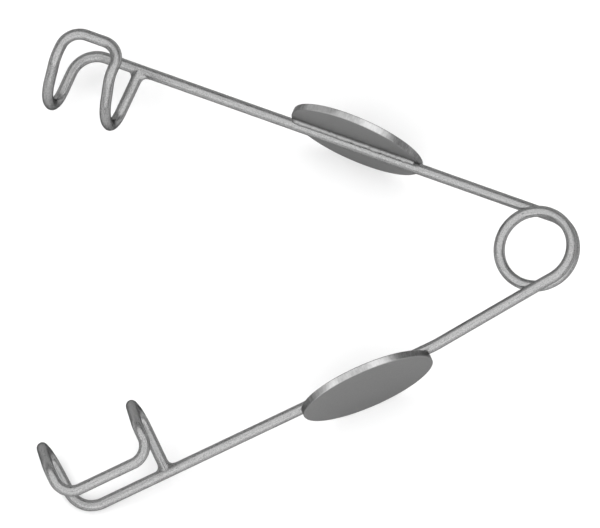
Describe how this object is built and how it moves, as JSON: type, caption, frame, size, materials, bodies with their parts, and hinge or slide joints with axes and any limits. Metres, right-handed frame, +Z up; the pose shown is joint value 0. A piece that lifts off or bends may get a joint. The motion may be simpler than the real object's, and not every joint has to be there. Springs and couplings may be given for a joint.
{
  "type": "eyelid speculum",
  "caption": "Spring-wire eyelid speculum: a coil hinge joins arms that end in hooked lid loops and carry round finger pads.",
  "frame": {"origin": "On the table under the middle of the part's bounding box, with the instrument lying on the rims of its finger pads and the lower loop's tip", "axes": "+X towards the coil, -X towards the lid loops, +Y towards the upper arm, +Z up from the table; the coil's axis leans about 11 degrees from +Z"},
  "size_m": [0.058, 0.0518, 0.015],
  "materials": {
    "spring_wire": "satin drawn stainless wire",
    "pad_steel": "fine matte stainless sheet with bright worn rims",
    "weld_metal": "smooth polished braze and weld"
  },
  "bodies": {
    "lower_half": {"spring_coil": "spring_wire", "lower_arm": "spring_wire", "lower_lid_loop": "spring_wire", "lower_loop_weld": "weld_metal", "lower_finger_pad": "pad_steel", "lower_pad_braze": "weld_metal"},
    "upper_half": {"upper_arm": "spring_wire", "upper_lid_loop": "spring_wire", "upper_loop_weld": "weld_metal", "upper_finger_pad": "pad_steel", "upper_pad_braze": "weld_metal"}
  },
  "joints": [
    {"name": "coil_hinge", "type": "hinge", "parent": "lower_half", "child": "upper_half", "pos_m": [0.02435, 0.0009, 0.01114], "axis": [-0.1863, -0.0479, 0.9813], "range_deg": [-5, 38], "stiffness_Nm_per_rad": 0.275, "deforming": ["spring_coil"]}
  ]
}
